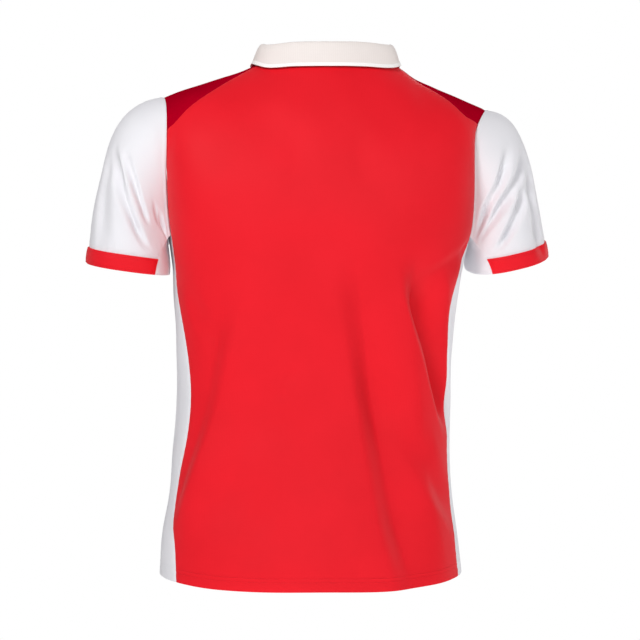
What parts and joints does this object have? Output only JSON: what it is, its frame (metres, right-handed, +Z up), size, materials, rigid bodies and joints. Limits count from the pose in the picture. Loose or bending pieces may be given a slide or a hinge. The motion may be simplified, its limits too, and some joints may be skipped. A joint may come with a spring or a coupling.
{
  "type": "football jersey",
  "caption": "Short-sleeved football jersey, filled out as if worn: red body with dark red shoulder panels, white sleeves and side panels, red cuffs and a folded cream collar",
  "frame": {"origin": "Between the shoulders at the foot of the neck, where a wearer's neck and shoulders hold the jersey up", "axes": "+Z up, the front of the jersey faces -Y, +X is the wearer's left"},
  "size_m": [0.636, 0.2462, 0.739],
  "materials": {
    "red_knit": "smooth knitted polyester, faint sheen",
    "dark_red_knit": "smooth knitted polyester, faint sheen",
    "white_knit": "smooth knitted polyester",
    "cream_rib": "ribbed knit"
  },
  "bodies": {
    "root": {"back": "red_knit", "front": "red_knit", "shoulder_left": "dark_red_knit", "shoulder_right": "dark_red_knit", "side_left": "white_knit", "side_right": "white_knit", "sleeve_left": "white_knit", "sleeve_right": "white_knit", "underarm_left": "white_knit", "underarm_right": "white_knit", "cuff_left": "red_knit", "cuff_right": "red_knit", "collar": "cream_rib"}
  },
  "joints": []
}
